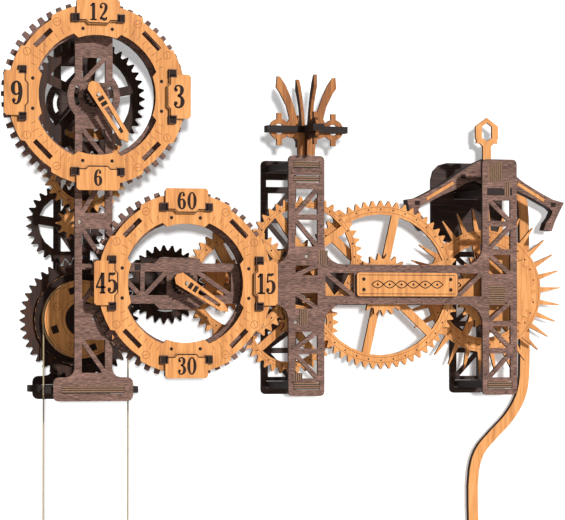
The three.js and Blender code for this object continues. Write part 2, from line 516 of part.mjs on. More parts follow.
// Hands point straight up before they are turned clockwise to their time.
const hand = (name, at, clockwise, reach, tail, w, tipW) => {
  const outline = [[-w / 2, -tail + 4], [-w / 2 + 4, -tail], [w / 2 - 4, -tail], [w / 2, -tail + 4],
    [tipW / 2, reach - 7], [0, reach], [-tipW / 2, reach - 7]];
  const window = [[-2.2, 13], [2.2, 13], [1.4, reach - 10], [-1.4, reach - 10]];
  const a = -clockwise * Math.PI / 180;
  const shape = polygon(outline.map((p) => turn(p, a)));
  shape.holes.push(hole(window.map((p) => turn(p, a))), circle(0, 0, HUB_HOLE));
  add(name, board(shape), honey, at[0], HAND_BACK - PLY, at[1]);
};
hand("hour_hand", hour, 147, 49.5, 13, 11.5, 10);
hand("minute_hand", minute, 123, 46, 12, 12, 7.5);

// ---- anchor, pendulum ---------------------------------------------------------------
const ANCHOR_T = 4 * PLY;
const ANCHOR_Y = PLANE.escape + PLY / 2 - ANCHOR_T / 2;
// One arm from the hub out to its point, and back along the underside; each arm has its own
// pallet. Both pallets stop short of the escape teeth, by more than the pendulum's swing.
const ARM_TOP = [[12, 8], [21.5, 2.5], [29.5, -2.5], [38, -8.8], [45.5, -13.2], [58, -20], [68, -24.8]];
const ARM_UNDER = [[57, -29], [45.5, -23], [29.3, -16], [20, -10.5], [12, -8]];
const anchorShape = polygon([[0, 13], ...ARM_TOP, [79, -27.5], [74.5, -36], [70, -45], [66.5, -54.5],
  [58.5, -53.5], [60.5, -47], [65, -41.5], [67.5, -36], [64, -32.5], ...ARM_UNDER, [0, -13],
  ...mirror(ARM_UNDER).reverse(), [-64, -31.5], [-67, -36], [-65.4, -39.4], [-60.5, -44.7],
  [-57.5, -49.5], [-60.5, -51.5], [-63.5, -55.5], [-67, -51.4], [-72.5, -43.5], [-76.3, -34.3],
  [-78, -26.5], ...mirror(ARM_TOP).reverse()]);
const ARM_SLOT = { x: 45.5, z: -18, length: 32, width: 3.4, lean: Math.PI / 6 };
for (const side of [-1, 1]) {
  const { x, z, length, width, lean } = ARM_SLOT;
  const bar = box(-length / 2, length / 2, -width / 2, width / 2).map((p) => turn(p, -side * lean));
  anchorShape.holes.push(hole(bar.map(([dx, dz]) => [side * x + dx, z + dz])));
}
anchorShape.holes.push(circle(0, 0, HUB_HOLE));
add("anchor", board(anchorShape, ANCHOR_T), brown, anchorPivot[0], ANCHOR_Y, anchorPivot[1]);

const EYE_Z = 38; // eye above the pivot
const SHAFT_HALF = 4;
const eyeLever = () => {
  const side = [[SHAFT_HALF, -8], [SHAFT_HALF, EYE_Z - 14], [7, EYE_Z - 11.3], [10.8, EYE_Z - 11.3],
    [10, EYE_Z - 8.5], [11.2, EYE_Z - 6.5], [11.2, EYE_Z + 4.7]];
  const shape = polygon([...side, [0, EYE_Z + 12.7], ...mirror(side).reverse()]);
  shape.holes.push(hole([[0, EYE_Z + 8], [5, EYE_Z + 4.5], [5, EYE_Z - 6], [0, EYE_Z - 9.3],
    [-5, EYE_Z - 6], [-5, EYE_Z + 4.5]]));
  return board(shape);
};
const EYE_Y = ANCHOR_Y - PLY - GAP;
add("pivot_arbor", join(rod(ARBOR_R, ROD_FRONT, -0.5), eyeLever().translate(0, EYE_Y, 0)), honey,
  anchorPivot[0], 0, anchorPivot[1]);

// The rod swings out to the right round the escape wheel and comes back under the pivot.
const ROD_Y = -20;
const ROD_OUT = 51; // how far the straight stretch stands right of the pivot
const line = new THREE.CatmullRomCurve3([[-6, 0.5], [18, -2], [37, -9], [48, -21], [ROD_OUT, -36],
  [ROD_OUT, -110], [ROD_OUT, -196], [46, -214], [35, -231], [19, -247], [6, -262], [0, -282],
  [0, -350], [0, 6 - PENDULUM_L]].map(([x, z]) => new THREE.Vector3(x, z, 0)), false, "centripetal");
const rodShape = (() => {
  const steps = 44;
  const [left, right] = [[], []];
  for (let i = 0; i <= steps; i++) {
    const p = line.getPoint(i / steps);
    const t = line.getTangent(i / steps);
    left.push([p.x - t.y * ROD_W / 2, p.y + t.x * ROD_W / 2]);
    right.push([p.x + t.y * ROD_W / 2, p.y - t.x * ROD_W / 2]);
  }
  const shape = polygon([...left, ...right.reverse()]);
  shape.holes.push(circle(0, 0, HUB_HOLE));
  return shape;
})();
add("pendulum_rod", board(rodShape, 2 * PLY), honey, anchorPivot[0], ROD_Y, anchorPivot[1]);
const BOB_R = 34;
const BOB_T = 12;
add("pendulum_bob", spun([[0, 0], [BOB_R - 6, 0], [BOB_R, 3], [BOB_R, BOB_T - 3], [BOB_R - 6, BOB_T],
  [0, BOB_T]], 36), dark, anchorPivot[0], ROD_Y - BOB_T - GAP, anchorPivot[1] - PENDULUM_L);

// ---- finial on the middle tower -----------------------------------------------------
const BASE = TOWER_TOP + GAP;
const [LOBE_X, LOBE_Z, LOBE_R] = [25.5, BASE + 23.3, 9.5];
const KNOB = 2.4; // half width of the knobs above and below a lobe
const KNOB_OUT = LOBE_R + 5;
const finialHalf = [[8, BASE], [8.5, BASE + 14],
  ...arc(LOBE_X, LOBE_Z, LOBE_R, -2.4, -Math.PI / 2 - 0.25, 3),
  [LOBE_X - KNOB, LOBE_Z - KNOB_OUT], [LOBE_X + KNOB, LOBE_Z - KNOB_OUT],
  ...arc(LOBE_X, LOBE_Z, LOBE_R, -Math.PI / 2 + 0.25, Math.PI / 2 - 0.25, 9),
  [LOBE_X + KNOB, LOBE_Z + KNOB_OUT], [LOBE_X - KNOB, LOBE_Z + KNOB_OUT],
  ...arc(LOBE_X, LOBE_Z, LOBE_R, Math.PI / 2 + 0.25, 2.5, 3),
  [16, BASE + 33], [19, BASE + 44.6], [25.3, BASE + 56.6], [28.5, BASE + 61], [27.6, BASE + 71],
  [24.8, BASE + 70.5], [20, BASE + 63.6], [15.8, BASE + 54.6], [11.1, BASE + 41.6], [8, BASE + 29.6],
  [2.5, BASE + 18]];
const finialBlade = () => {
  const shape = polygon([...finialHalf, ...mirror(finialHalf).reverse()]);
  for (const side of [-1, 1]) shape.holes.push(circle(side * LOBE_X, LOBE_Z, LOBE_R - 4.5));
  return board(shape, PLY, 5).translate(0, -PLY / 2, 0);
};
// Two blades cross at right angles on the tower's top.
add("finial_blades", join(finialBlade(), finialBlade().rotateZ(Math.PI / 2)), honey,
  0, FRONT + PLY / 2, 0);
const PLUS_REACH = 38;
const plus = (reach, half) => [[half, half], [half, reach], [-half, reach], [-half, half], [-reach, half],
  [-reach, -half], [-half, -half], [-half, -reach], [half, -reach], [half, -half], [reach, -half],
  [reach, half]];
const plusShape = polygon(plus(PLUS_REACH, 5.2));
plusShape.holes.push(hole(plus(LOBE_X + LOBE_R + GAP, PLY / 2 + GAP)));
add("finial_cross", new THREE.ExtrudeGeometry(plusShape, { depth: 2 * PLY, bevelEnabled: false }), dark,
  0, FRONT + PLY / 2, LOBE_Z - PLY);

// ---- cords and what hangs on them ---------------------------------------------------
const cord = (name, x, y) => {
  const path = new THREE.LineCurve3(new THREE.Vector3(x, y, great[1]), new THREE.Vector3(x, y, CORD_END));
  const section = new THREE.Shape().absarc(0, 0, CORD_D / 2, 0, 2 * Math.PI);
  add(name, new THREE.ExtrudeGeometry(section, { extrudePath: path, steps: 2, curveSegments: 4 }), twine);
};
const weight = (name, x, y, r, h, material) => {
  const profile = [[0, 0], [2, 0], [2, -6], [r - 3, -9], [r, -12], [r, -h + 4], [r - 4, -h], [0, -h]];
  add(name, spun(profile, 24).rotateX(Math.PI / 2), material, x, y, CORD_END - GAP);
};
const DRIVE_X = great[0] - DRUM_R - GAP - CORD_D / 2;
const DRIVE_Y = DRUM_BACK - 2 * PLY;
const COUNTER_X = great[0] + COUNTER_R + GAP + CORD_D / 2;
const COUNTER_Y = COUNTER_FRONT + PLY / 2;
cord("drive_cord", DRIVE_X, DRIVE_Y);
cord("winding_cord", COUNTER_X, COUNTER_Y);
weight("drive_weight", DRIVE_X, DRIVE_Y, 16, 70, dark);
weight("winding_weight", COUNTER_X, COUNTER_Y, 8, 30, honey);

export default clock;
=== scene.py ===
import json
import math
import bpy
import bmesh
import numpy as np
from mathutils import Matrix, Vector

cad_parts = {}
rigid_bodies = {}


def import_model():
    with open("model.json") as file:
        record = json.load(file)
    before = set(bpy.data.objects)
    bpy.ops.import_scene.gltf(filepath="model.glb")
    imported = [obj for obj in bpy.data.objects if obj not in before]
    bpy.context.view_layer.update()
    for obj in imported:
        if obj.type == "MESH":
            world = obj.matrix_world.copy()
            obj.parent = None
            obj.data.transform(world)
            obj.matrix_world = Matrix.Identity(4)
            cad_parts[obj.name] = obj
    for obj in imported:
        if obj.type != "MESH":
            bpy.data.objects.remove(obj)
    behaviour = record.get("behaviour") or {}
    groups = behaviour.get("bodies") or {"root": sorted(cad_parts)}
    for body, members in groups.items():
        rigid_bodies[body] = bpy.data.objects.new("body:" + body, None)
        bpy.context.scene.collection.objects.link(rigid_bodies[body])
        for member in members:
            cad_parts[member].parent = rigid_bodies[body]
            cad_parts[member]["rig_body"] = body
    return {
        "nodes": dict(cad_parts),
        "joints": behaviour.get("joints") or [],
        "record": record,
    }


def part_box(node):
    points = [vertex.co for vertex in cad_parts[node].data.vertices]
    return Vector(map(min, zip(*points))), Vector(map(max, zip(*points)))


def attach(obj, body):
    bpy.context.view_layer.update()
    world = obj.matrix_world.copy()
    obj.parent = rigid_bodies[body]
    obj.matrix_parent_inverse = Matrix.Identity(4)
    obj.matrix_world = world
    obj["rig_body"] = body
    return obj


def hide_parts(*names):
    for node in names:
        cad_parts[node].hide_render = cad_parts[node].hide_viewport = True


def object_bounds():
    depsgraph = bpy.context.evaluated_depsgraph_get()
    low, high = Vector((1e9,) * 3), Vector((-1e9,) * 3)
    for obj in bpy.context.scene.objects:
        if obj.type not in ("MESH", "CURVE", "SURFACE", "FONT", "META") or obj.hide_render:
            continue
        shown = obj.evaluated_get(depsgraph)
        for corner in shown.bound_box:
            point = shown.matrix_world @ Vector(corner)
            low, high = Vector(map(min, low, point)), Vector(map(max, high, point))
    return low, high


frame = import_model()
cad_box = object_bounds()
nodes = frame["nodes"]
scene = bpy.context.scene
MM = 0.001

# ---- camera: a long lens a little to the clock's left, just below the dials' middle and
# looking very slightly up, so that the plates' left edges show.
AIM = Vector((-22.7 * MM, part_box("bridge_front")[0].y, 21.6 * MM))
CAMERA_SIDE = math.radians(17.2)
CAMERA_RISE = math.radians(1.37)
CAMERA_AWAY = 2.525
toward = Vector((math.sin(CAMERA_SIDE) * math.cos(CAMERA_RISE),
                 math.cos(CAMERA_SIDE) * math.cos(CAMERA_RISE), math.sin(CAMERA_RISE)))
camera = bpy.data.objects.new("camera", bpy.data.cameras.new("camera"))
camera.data.sensor_width = 36
camera.data.lens = 178.8
camera.data.clip_end = 20
camera.location = AIM - CAMERA_AWAY * toward
camera.rotation_euler = toward.to_track_quat("-Z", "Y").to_euler()
scene.collection.objects.link(camera)
scene.camera = camera


# ---- cords: two waxed linen threads, 1.4 mm thick, drawn straight by the weights. The
# driving thread leaves the left of its drum, and the winding thread the right of its own.
def linear(code):
    """An sRGB hex colour as linear red, green, blue and alpha."""
    c = np.array([int(code[i:i + 2], 16) for i in (1, 3, 5)]) / 255
    return (*np.where(c <= 0.04045, c / 12.92, ((c + 0.055) / 1.055) ** 2.4), 1)


def node(tree, kind, inputs=None, **settings):
    """Adds one shader node. Inputs are sockets to link from, or values to set."""
    n = tree.nodes.new("ShaderNode" + kind)
    for key, value in settings.items():
        setattr(n, key, value)
    for key, value in (inputs or {}).items():
        if isinstance(value, bpy.types.NodeSocket):
            tree.links.new(value, n.inputs[key])
        else:
            n.inputs[key].default_value = value
    return n


def math_node(tree, operation, *values):
    """The result of one Math node."""
    return node(tree, "Math", dict(enumerate(values)), operation=operation).outputs[0]


def ramp(tree, factor, *stops):
    """A colour ramp over factor, from stops of place and sRGB hex."""
    n = node(tree, "ValToRGB", {"Fac": factor})
    while len(n.color_ramp.elements) < len(stops):
        n.color_ramp.elements.new(0.5)
    for element, (place, code) in zip(n.color_ramp.elements, stops):
        element.position = place
        element.color = linear(code)
    return n.outputs["Color"]


def new_material(name):
    """A node material with one shader: the material, its tree and the shader."""
    m = bpy.data.materials.new(name)
    m.use_nodes = True
    m.node_tree.nodes.clear()
    shader = node(m.node_tree, "BsdfPrincipled")
    node(m.node_tree, "OutputMaterial", {"Surface": shader.outputs["BSDF"]})
    return m, m.node_tree, shader


# Waxed linen: a three-ply twist that comes round every 2.5 mm, cream over tan.
linen, tree, shader = new_material("waxed_linen")
where = node(tree, "TexCoord").outputs["Object"]
axes = node(tree, "SeparateXYZ", {"Vector": where})
slant = math_node(tree, "MULTIPLY_ADD", axes.outputs["X"], 1.6, axes.outputs["Z"])
lean = math_node(tree, "MULTIPLY_ADD", axes.outputs["Y"], 1.1, slant)
twist = math_node(tree, "SINE", math_node(tree, "MULTIPLY", lean, 2 * math.pi / (0.9 * MM)))
fuzz = node(tree, "TexNoise", {"Vector": where, "Scale": 1 / (0.5 * MM), "Detail": 3.0})
tone = math_node(tree, "MULTIPLY_ADD", twist, 0.25, fuzz.outputs["Fac"])
tree.links.new(ramp(tree, tone, (0.2, "#7f6847"), (0.75, "#d6c39a")), shader.inputs["Base Color"])
rope = node(tree, "Bump", {"Height": twist, "Strength": 0.5, "Distance": 0.15 * MM})
tree.links.new(rope.outputs["Normal"], shader.inputs["Normal"])
shader.inputs["Roughness"].default_value = 0.8

CORD_D = 1.4 * MM
CORD_POINTS = 16
for side in ("drive", "winding"):
    low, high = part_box(f"{side}_cord")
    top = (low + high) / 2
    top.z = high.z
    curve = bpy.data.curves.new(f"{side}_linen", "CURVE")
    curve.dimensions = "3D"
    curve.bevel_depth = CORD_D / 2
    curve.bevel_resolution = 3
    curve.use_fill_caps = True
    spline = curve.splines.new("POLY")
    spline.points.add(CORD_POINTS - 1)
    for point, z in zip(spline.points, np.linspace(high.z, low.z, CORD_POINTS)):
        point.co = (top.x, top.y, z, 1)
    curve.materials.append(linen)
    cord = bpy.data.objects.new(f"{side}_linen", curve)
    scene.collection.objects.link(cord)
    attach(cord, "frame")
    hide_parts(f"{side}_cord")


# ---- plywood: 3 mm birch sheet cut by laser. The faces show straight grain, and every cut
# edge is scorched, with its three plies showing. It comes clear, umber and nearly black.
# The rear plates and cross pieces are painted a darker umber than the front ones: that is
# painted shade, for the shadow they stand in behind the front plates.
def blend_colours(tree, factor, a, b):
    """The colour a where factor is 0, and b where it is 1."""
    n = node(tree, "Mix", {0: factor}, data_type="RGBA")
    first, second = [i for i in n.inputs if i.type == "RGBA"]
    tree.links.new(a, first)
    tree.links.new(b, second)
    return next(o for o in n.outputs if o.type == "RGBA")


WOOD_SHEEN = 0.2  # bare sanded wood hardly shines


def plywood(name, face, edge, grain="X", sheet="Y", streak=0.5, fibre_length=25 * MM):
    """Birch plywood. face is its dark, middle and light streaks and edge its scorched cut
    and bare plies; grain is the way that the fibres run, and sheet the faces' normal."""
    m, t, s = new_material(name)
    where = node(t, "TexCoord")
    # Fibres 0.8 mm apart, in growth bands 9 mm apart.
    fibre_size = [1 / fibre_length if a == grain else 1 / (0.8 * MM) for a in "XYZ"]
    band_size = [1 / (90 * MM) if a == grain else 1 / (9 * MM) for a in "XYZ"]
    noises = []
    for size, detail, bend in ((fibre_size, 4.0, 0.3), (band_size, 3.0, 1.4)):
        placed = node(t, "Mapping", {"Vector": where.outputs["Object"], "Scale": size})
        noises.append(node(t, "TexNoise", {"Vector": placed.outputs["Vector"], "Scale": 1.0,
                                           "Detail": detail, "Distortion": bend}).outputs["Fac"])
    fibre, band = noises
    grain_tone = math_node(t, "MULTIPLY_ADD", band, 1 - streak,
                           math_node(t, "MULTIPLY", fibre, streak))
    face_colour = ramp(t, grain_tone, (0.36, face[0]), (0.5, face[1]), (0.62, face[2]))
    through = node(t, "SeparateXYZ", {"Vector": where.outputs["Object"]}).outputs[sheet]
    glue = math_node(t, "ABSOLUTE",
                     math_node(t, "SINE", math_node(t, "MULTIPLY", through, math.pi / (1 * MM))))
    edge_colour = ramp(t, math_node(t, "MULTIPLY", fibre, glue), (0.1, edge[0]), (0.65, edge[1]))
    facing = node(t, "SeparateXYZ", {"Vector": where.outputs["Normal"]}).outputs[sheet]
    is_face = node(t, "MapRange", {"Value": math_node(t, "ABSOLUTE", facing),
                                   "From Min": 0.55, "From Max": 0.75}).outputs["Result"]
    t.links.new(blend_colours(t, is_face, edge_colour, face_colour), s.inputs["Base Color"])
    rough = node(t, "MapRange", {"Value": fibre, "From Min": 0.3, "From Max": 0.7,
                                 "To Min": 0.47, "To Max": 0.67})
    t.links.new(rough.outputs["Result"], s.inputs["Roughness"])
    s.inputs["Specular IOR Level"].default_value = WOOD_SHEEN
    relief = node(t, "Bump", {"Height": fibre, "Strength": 0.25, "Distance": 0.15 * MM})
    t.links.new(relief.outputs["Normal"], s.inputs["Normal"])
    return m


HONEY = ("#b97842", "#d79253", "#e6a364")
HONEY_EDGE = ("#22120d", "#54301c")
UMBER = ("#442e26", "#6f5247", "#967063")
UMBER_EDGE = ("#140d0b", "#33211b")
# Painted shade: umber darkened for the rear plates and cross pieces, which stand in shadow.
SHADE_DARKENED_UMBER = ("#231814", "#3a2a24", "#523c34")
DARK = ("#1f1009", "#341d12", "#4a2c1b")
DARK_EDGE = ("#120b09", "#2a1912")
honey = plywood("honey_plywood", HONEY, HONEY_EDGE, "Z")
umber = plywood("umber_plywood", UMBER, UMBER_EDGE, "X", streak=0.7, fibre_length=5 * MM)
# These two carry the darker umber as painted shade, for the rear plates and the spacers.
shade_darkened_umber = plywood("shade_darkened_umber_plywood", SHADE_DARKENED_UMBER, UMBER_EDGE, "X", streak=0.7)
shade_darkened_spacer = plywood("shade_darkened_spacer", SHADE_DARKENED_UMBER, UMBER_EDGE, "Y", "Z")
dark = plywood("dark_plywood", DARK, DARK_EDGE, "Z")
toasted = plywood("toasted_plywood", ("#7a4a28", "#a06436", "#bf8048"), HONEY_EDGE, "Z")
dark_disc = plywood("dark_disc", DARK, DARK_EDGE, "X", "Z")


def steel_finish(tree, shader):
    """Drawn steel: fine lines round the rod, some of them duller than others."""
    where = node(tree, "TexCoord").outputs["Object"]
    lines = node(tree, "Mapping", {"Vector": where, "Scale": (1 / MM, 1 / (0.1 * MM), 1 / MM)})
    scratch = node(tree, "TexNoise", {"Vector": lines.outputs["Vector"], "Scale": 1.0, "Detail": 2.0})
    tree.links.new(ramp(tree, scratch.outputs["Fac"], (0.3, "#6f6a64"), (0.7, "#a39d94")),
                   shader.inputs["Base Color"])
    tree.links.new(math_node(tree, "MULTIPLY_ADD", scratch.outputs["Fac"], 0.3, 0.2),
                   shader.inputs["Roughness"])
    shader.inputs["Metallic"].default_value = 1.0


steel, tree, shader = new_material("drawn_steel")
steel_finish(tree, shader)

ROD_EDGE = 1.6 * MM  # just outside a rod
pivots = {j["child"]: Vector(j["pos_m"]) for j in frame["joints"]}


def pinion_on_rod(name, pivot, face, edge):
    """Plywood pinion on a steel rod: steel within the rod's radius of the pivot's axis."""
    m = plywood(name, face, edge, "Z")
    t = m.node_tree
    wood = next(n for n in t.nodes if n.type == "BSDF_PRINCIPLED")
    out = next(n for n in t.nodes if n.type == "OUTPUT_MATERIAL")
    metal = node(t, "BsdfPrincipled")
    steel_finish(t, metal)
    offset = node(t, "VectorMath", {0: node(t, "TexCoord").outputs["Object"], 1: (pivot.x, 0, pivot.z)},
                  operation="SUBTRACT")
    flat = node(t, "VectorMath", {0: offset.outputs["Vector"], 1: (1, 0, 1)}, operation="MULTIPLY")
    reach = node(t, "VectorMath", {0: flat.outputs["Vector"]}, operation="LENGTH").outputs["Value"]
    mixed = node(t, "MixShader", {"Fac": math_node(t, "GREATER_THAN", reach, ROD_EDGE)})
    t.links.new(metal.outputs["BSDF"], mixed.inputs[1])
    t.links.new(wood.outputs["BSDF"], mixed.inputs[2])
    t.links.new(mixed.outputs["Shader"], out.inputs["Surface"])
    return m


finish = {"plywood_honey": honey, "plywood_umber": umber, "plywood_dark": dark,
          "steel_rod": steel, "twine": linen}
slot_of = {s["node"]: s["material_slot"] for s in frame["record"]["subparts"]}
for name, piece in nodes.items():
    material = finish[slot_of[name]]
    # Spacers and rear plates take the darker umber, which is painted shade for the shadow they stand
    # in.
    if name.startswith("spacer"):
        material = shade_darkened_spacer
    elif name.endswith("_rear"):
        material = shade_darkened_umber
    elif name == "finial_blades":
        material = toasted
    if name == "finial_cross":
        material = dark_disc
    if name.endswith("_arbor") and slot_of[name] == "plywood_honey":
        material = pinion_on_rod(f"{name}_wood", pivots[piece["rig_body"]], HONEY, HONEY_EDGE)
    if name in ("hour_arbor", "minute_arbor"):
        material = pinion_on_rod(f"{name}_hub", pivots[piece["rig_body"]], DARK, DARK_EDGE)
    piece.data.materials.clear()
    piece.data.materials.append(material)


# ---- marks: what the laser burns into a face. Each mark is a thin prism let into the
# face, and all the marks of one board make one piece.
def circle(x, z, r, count=20):
    """count points round a circle: (x + r cos a, z + r sin a)."""
    a = np.linspace(0, 2 * np.pi, count, endpoint=False)
    return np.stack([x + r * np.cos(a), z + r * np.sin(a)], 1)


def rectangle(x0, x1, z0, z1):
    """The corners of a rectangle given by its edges in millimetres."""
    return np.array([(x0, z0), (x1, z0), (x1, z1), (x0, z1)]) * MM


def turned(points, angle, x=0.0, z=0.0):
    """Points turned by angle about the origin, then moved by x and z."""
    p = np.asarray(points, float)
    c, s = math.cos(angle), math.sin(angle)
    return np.stack([p[:, 0] * c - p[:, 1] * s + x, p[:, 0] * s + p[:, 1] * c + z], 1)


def line_mark(path, width, closed=False):
    """A line along path. Its edges are path + n width / 2 and path - n width / 2, where n is
    the unit normal; width is one number, or one for each point."""
    p = np.asarray(path, float)
    ahead = np.roll(p, -1, 0) - np.roll(p, 1, 0) if closed else np.gradient(p, axis=0)
    ahead /= np.linalg.norm(ahead, axis=1)[:, None]
    side = np.stack([-ahead[:, 1], ahead[:, 0]], 1) * np.broadcast_to(width, len(p))[:, None] / 2
    return p + side, p - side, closed


def burn(name, marks, body, face_y, material, depth=0.4 * MM, proud=0.05 * MM):
    """One piece from marks: outlines, or pairs of edges from line_mark. Each becomes a prism
    from proud of the face at face_y to depth behind it."""
    verts, faces = [], []
    for mark in marks:
        start = len(verts)
        if isinstance(mark, tuple):
            left, right, closed = mark
            n = len(left)
            for y in (face_y - proud, face_y + depth):
                verts += [(x, y, z) for x, z in left] + [(x, y, z) for x, z in right]
            for i in range(n if closed else n - 1):
                j = (i + 1) % n
                front = [i, j, n + j, n + i]
                faces += [[start + k for k in q] for q in (
                    front, [k + 2 * n for k in front[::-1]], [i, 2 * n + i, 2 * n + j, j],
                    [n + i, n + j, 3 * n + j, 3 * n + i])]
            if not closed:
                faces += [[start + k for k in q] for q in (
                    [0, n, 3 * n, 2 * n], [n - 1, 3 * n - 1, 4 * n - 1, 2 * n - 1])]
        else:
            n = len(mark)
            for y in (face_y - proud, face_y + depth):
                verts += [(x, y, z) for x, z in mark]
            faces.append([start + k for k in range(n)])
            faces.append([start + n + k for k in reversed(range(n))])
            faces += [[start + i, start + n + i, start + n + (i + 1) % n, start + (i + 1) % n]
                      for i in range(n)]
    return add_piece(name, verts, faces, material, body)


def add_piece(name, verts, faces, material, body, smooth=False):
    """A mesh at the origin with its faces turned outwards, riding on body."""
    mesh = bpy.data.meshes.new(name)
    mesh.from_pydata([tuple(map(float, v)) for v in verts], [], faces)
    work = bmesh.new()
    work.from_mesh(mesh)
    bmesh.ops.recalc_face_normals(work, faces=work.faces)
    work.to_mesh(mesh)
    work.free()
    if smooth:
        mesh.shade_smooth()
    mesh.materials.append(material)
    piece = bpy.data.objects.new(name, mesh)
    scene.collection.objects.link(piece)
    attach(piece, body)
    return piece


def mottled(name, low, high, size, roughness):
    """A burnt surface, mottled from low to high over about size."""
    m, t, s = new_material(name)
    where = node(t, "TexCoord").outputs["Object"]
    speck = node(t, "TexNoise", {"Vector": where, "Scale": 1 / size, "Detail": 4.0})
    t.links.new(ramp(t, speck.outputs["Fac"], (0.35, low), (0.65, high)), s.inputs["Base Color"])
    t.links.new(math_node(t, "MULTIPLY_ADD", speck.outputs["Fac"], 0.2, roughness),
                s.inputs["Roughness"])
    s.inputs["Specular IOR Level"].default_value = WOOD_SHEEN
    return m


# Scorched through to char, as figures and holes are; and browned lightly, as fine lines are.
char = mottled("laser_char", "#1a0f0b", "#2f1c14", 1.5 * MM, 0.6)
browned = mottled("laser_brown", "#8a5430", "#a96c40", 1.0 * MM, 0.6)


# ---- dial figures: tall narrow figures with thick stems, thin hairlines and round ends,
# cut as strokes of changing width. Sizes are shares of the figure's height.
def smooth_path(points, steps=6):
    """A Catmull-Rom curve through points: at share t between p1 and p2 it is
    (2 p1 + (p2 - p0) t + (2 p0 - 5 p1 + 4 p2 - p3) t^2 + (3 p1 - p0 - 3 p2 + p3) t^3) / 2."""
    p = np.asarray(points, float)
    p = np.vstack([2 * p[0] - p[1], p, 2 * p[-1] - p[-2]])
    t = np.linspace(0, 1, steps, endpoint=False)[:, None]
    runs = [(2 * p[i] + (p[i + 1] - p[i - 1]) * t
             + (2 * p[i - 1] - 5 * p[i] + 4 * p[i + 1] - p[i + 2]) * t ** 2
             + (3 * p[i] - p[i - 1] - 3 * p[i + 1] + p[i + 2]) * t ** 3) / 2
            for i in range(1, len(p) - 2)]
    return np.vstack(runs + [p[-2][None]])


# Each stroke lists x, z and width; a stroke of one entry is a round dot.
SIX = [[(0.40, 0.85, 0.03), (0.35, 0.95, 0.03), (0.25, 0.985, 0.03), (0.14, 0.87, 0.10),
        (0.075, 0.60, 0.13), (0.075, 0.35, 0.14), (0.12, 0.13, 0.10), (0.24, 0.015, 0.03),
        (0.37, 0.12, 0.10), (0.41, 0.31, 0.14), (0.37, 0.50, 0.10), (0.26, 0.585, 0.03),
        (0.15, 0.52, 0.03)], [(0.36, 0.83, 0.12)]]
FIGURES = {
    "0": [[(0.25 - 0.19 * math.cos(a), 0.5 + 0.485 * math.sin(a), 0.03 + 0.11 * math.cos(a) ** 2)
           for a in np.linspace(0, 2 * math.pi, 17)]],
    "1": [[(0.25, 0.0, 0.13), (0.25, 1.0, 0.13)], [(0.05, 0.02, 0.04), (0.45, 0.02, 0.04)],
          [(0.06, 0.82, 0.03), (0.14, 0.86, 0.05), (0.22, 0.97, 0.06)]],
    "2": [[(0.05, 0.78, 0.03), (0.10, 0.92, 0.04), (0.23, 0.985, 0.03), (0.38, 0.90, 0.10),
           (0.40, 0.72, 0.14), (0.33, 0.50, 0.11), (0.18, 0.28, 0.06), (0.05, 0.08, 0.04)],
          [(0.04, 0.06, 0.05), (0.15, 0.10, 0.10), (0.28, 0.05, 0.13), (0.39, 0.06, 0.08),
           (0.44, 0.20, 0.03)], [(0.11, 0.76, 0.13)]],
    "3": [[(0.06, 0.81, 0.03), (0.12, 0.94, 0.04), (0.24, 0.985, 0.03), (0.37, 0.90, 0.10),
           (0.39, 0.76, 0.13), (0.34, 0.61, 0.08), (0.19, 0.535, 0.03)],
          [(0.19, 0.535, 0.03), (0.36, 0.46, 0.08), (0.42, 0.28, 0.14), (0.37, 0.10, 0.10),
           (0.24, 0.015, 0.03), (0.12, 0.05, 0.04), (0.05, 0.17, 0.03)],
          [(0.12, 0.79, 0.12)], [(0.11, 0.20, 0.13)]],
    "4": [[(0.34, 0.0, 0.13), (0.34, 1.0, 0.13)], [(0.20, 0.02, 0.04), (0.48, 0.02, 0.04)],
          [(0.32, 0.98, 0.03), (0.03, 0.30, 0.03)], [(0.01, 0.29, 0.05), (0.49, 0.29, 0.05)]],
    "5": [[(0.10, 0.97, 0.05), (0.25, 0.93, 0.10), (0.42, 0.98, 0.04)],
          [(0.11, 0.97, 0.03), (0.09, 0.54, 0.03)],
          [(0.09, 0.54, 0.03), (0.17, 0.62, 0.03), (0.28, 0.63, 0.04), (0.39, 0.52, 0.11),
           (0.42, 0.33, 0.14), (0.37, 0.12, 0.10), (0.24, 0.015, 0.03), (0.12, 0.05, 0.04),
           (0.05, 0.17, 0.03)], [(0.11, 0.19, 0.13)]],
    "6": SIX,
    "9": [[(0.49 - x, 1 - z, w) for x, z, w in stroke] for stroke in SIX],
}


def figure_marks(text, x, z, height, pitch):
    """The strokes of a number centred on x and z, its figures pitch apart. All are widened
    by a twentieth of the figure's height, as the laser's burn widens them."""
    marks = []
    for i, figure in enumerate(text):
        left = x + (i - (len(text) - 1) / 2) * pitch - 0.25 * height
        for stroke in FIGURES[figure]:
            s = np.array(stroke) * height + (left, z - height / 2, height / 20)
            if len(s) == 1:
                marks.append(circle(s[0, 0], s[0, 1], s[0, 2] / 2, 12))
            elif len(s) == 2:
                marks.append(line_mark(s[:, :2], s[:, 2]))
            else:
                s = smooth_path(s)
                marks.append(line_mark(s[:, :2], s[:, 2]))
    return marks


# Number: height of its figures and distance between them, in millimetres.
FIGURE_SIZES = {"12": (15, 9), "6": (14, 9), "3": (20, 9), "9": (20, 9),
                "60": (15, 9.2), "30": (15, 9.2), "15": (18, 8.6), "45": (18, 10.2)}
for dial, numbers in (("hour", ("3", "12", "9", "6")), ("minute", ("15", "60", "45", "30"))):
    marks = []
    for number in numbers:
        low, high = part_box(f"{dial}_numeral_{number}")
        height, pitch = FIGURE_SIZES[number]
        middle = (low + high) / 2
        marks += figure_marks(number, middle.x, middle.z, height * MM, pitch * MM)
    burn(f"{dial}_figures", marks, "frame", low.y, char)


